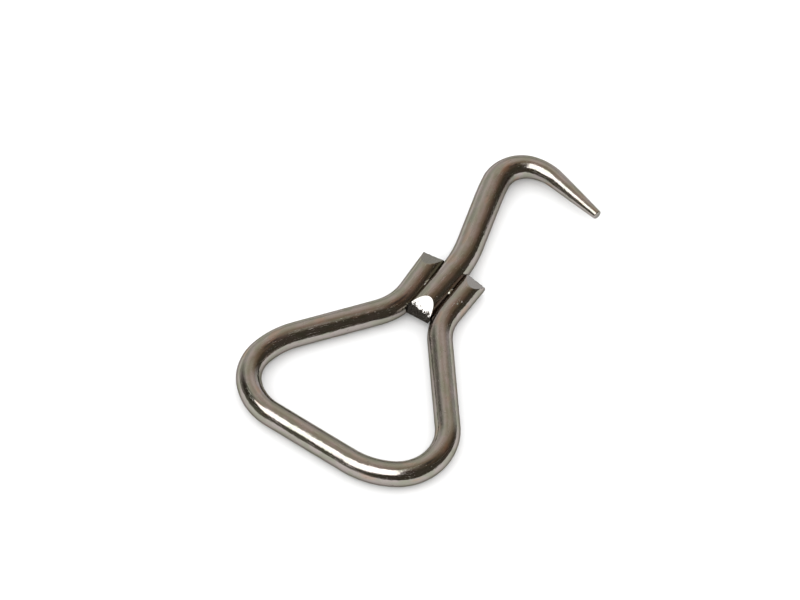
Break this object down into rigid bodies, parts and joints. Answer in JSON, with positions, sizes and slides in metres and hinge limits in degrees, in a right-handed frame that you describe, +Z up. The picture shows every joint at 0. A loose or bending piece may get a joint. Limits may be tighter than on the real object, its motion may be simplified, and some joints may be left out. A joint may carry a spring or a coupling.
{
  "type": "meat hook",
  "caption": "Hand meat hook: a bent wire finger handle welded to both sides of a thicker S-bent wire that tapers to a blunt point.",
  "frame": {"origin": "centre of the hook's footprint, on the plane it lies on", "axes": "+Y along the shank from the handle's base to the hook's bend, +X towards the side the point turns to, +Z up out of the plane that both wires lie on"},
  "size_m": [0.0752, 0.131, 0.0088],
  "materials": {
    "handle_wire": "bright nickel plate over drawn round steel wire",
    "hook_wire": "bright nickel plate over drawn and ground round steel wire",
    "weld_metal": "nickel plated resistance weld flash"
  },
  "bodies": {
    "root": {"handle": "handle_wire", "hook": "hook_wire", "weld_left": "weld_metal", "weld_right": "weld_metal"}
  },
  "joints": []
}
